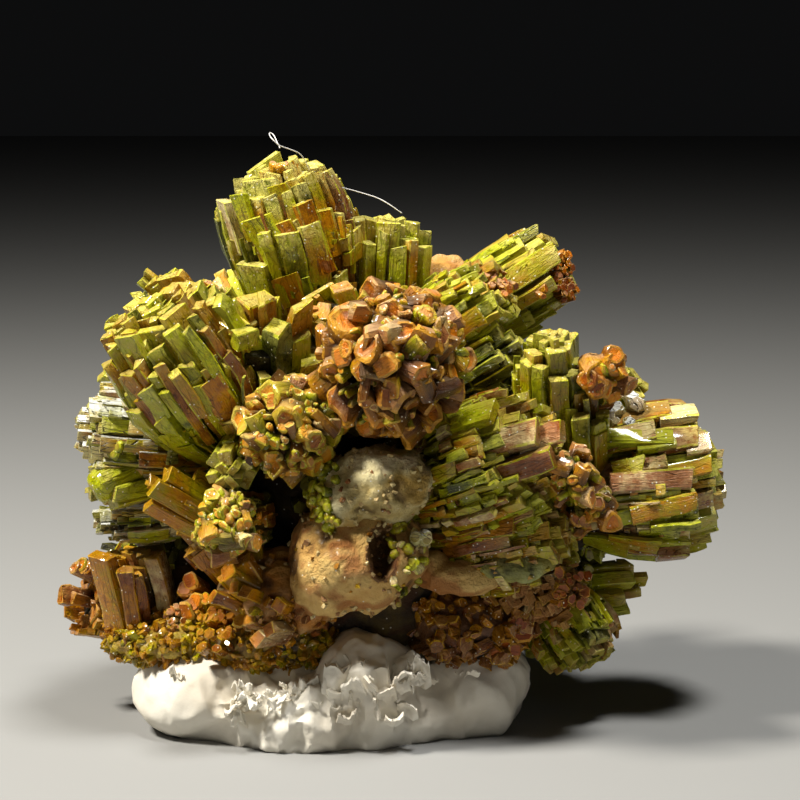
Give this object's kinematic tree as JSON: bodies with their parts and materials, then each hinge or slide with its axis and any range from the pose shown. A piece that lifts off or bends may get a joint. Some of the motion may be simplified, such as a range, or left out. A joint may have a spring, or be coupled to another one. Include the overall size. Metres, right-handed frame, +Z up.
{
  "type": "pyromorphite mineral specimen on mounting putty",
  "caption": "Cluster of barrel-shaped olive and orange pyromorphite crystals on rusty matrix, pressed into white mounting putty.",
  "frame": {"origin": "centre of the putty pad's flat underside", "axes": "+Z up, -Y towards the front that the picture shows, +X to the right"},
  "size_m": [0.0464, 0.0299, 0.0379],
  "materials": {
    "olive": "waxy, striated lengthwise, semi-gloss",
    "amber": "waxy, translucent-looking, semi-gloss",
    "orange": "waxy, hopper ends, semi-gloss",
    "tan": "dull, chipped",
    "matrix": "earthy, matte, sugary crust",
    "putty": "matte, crumpled"
  },
  "bodies": {
    "root": {"limonite_matrix": "matrix", "rosette_barrel": "orange", "left_rosette": "orange", "middle_barrel": "olive", "left_fan": "olive", "crown_barrel": "olive", "right_barrel": "olive", "left_barrel": "olive", "upper_right_barrel": "olive", "upper_middle_barrel": "olive", "small_rosette": "orange", "amber_laths": "amber", "pale_lath": "olive", "orange_block": "orange", "upper_prisms": "olive", "right_prisms": "olive", "right_rosette": "orange", "middle_rosette": "orange", "thin_prisms": "olive", "dark_prisms": "olive", "tan_barrel": "tan", "lower_right_barrel": "olive", "lower_right_prisms": "olive", "pale_knob": "olive", "green_crystal": "olive", "left_silver_barrel": "olive", "amber_column": "amber", "orange_spur": "orange", "left_dark_prisms": "olive", "left_top_knob": "olive", "back_barrel": "olive", "back_top_barrel": "olive", "back_left_barrel": "olive", "back_right_barrel": "olive", "back_upper_rosette": "orange", "back_low_barrel": "olive", "back_low_rosette": "amber", "putty_pad": "putty"}
  },
  "joints": []
}
